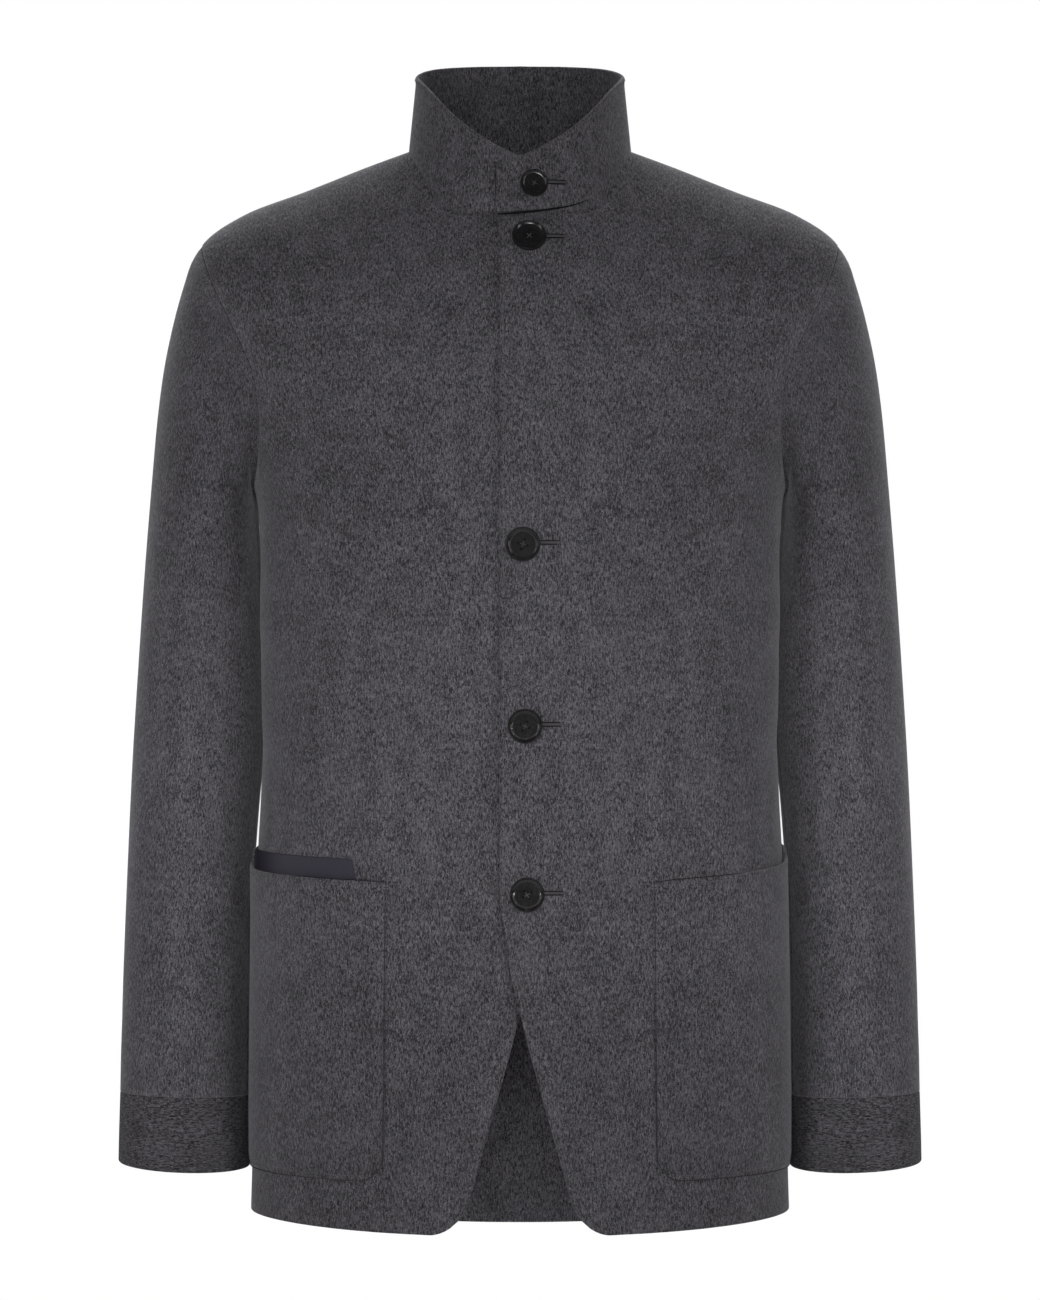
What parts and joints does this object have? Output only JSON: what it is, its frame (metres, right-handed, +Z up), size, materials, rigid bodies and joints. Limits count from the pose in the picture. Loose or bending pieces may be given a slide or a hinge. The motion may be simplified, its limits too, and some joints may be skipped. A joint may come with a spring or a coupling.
{
  "type": "jacket",
  "caption": "Charcoal wool jacket with a low stand collar, a buttoned front, patch pockets and cuff bands, hollow and filled out as when worn.",
  "frame": {"origin": "middle of the neck opening, level with the top of the shoulder seams at the collar", "axes": "+Z up, -Y out of the front, +X to the wearer's left"},
  "size_m": [0.5636, 0.2752, 0.8282],
  "materials": {
    "wool": "brushed, heathered",
    "cuff_wool": "brushed, grain crosswise",
    "lining": "smooth",
    "button": "satin"
  },
  "bodies": {
    "root": {"front_left": "wool", "front_right": "wool", "back": "wool", "collar": "wool", "sleeve_cap_left": "wool", "sleeve_cap_right": "wool", "sleeve_arm_left": "wool", "sleeve_arm_right": "wool", "sleeve_forearm_left": "wool", "sleeve_forearm_right": "wool", "sleeve_under_left": "wool", "sleeve_under_right": "wool", "cuff_left": "cuff_wool", "cuff_right": "cuff_wool", "pocket_left": "wool", "pocket_right": "wool", "pocket_lining": "lining", "button_collar": "button", "button_neck": "button", "button_chest": "button", "button_waist": "button", "button_hip": "button"}
  },
  "joints": []
}
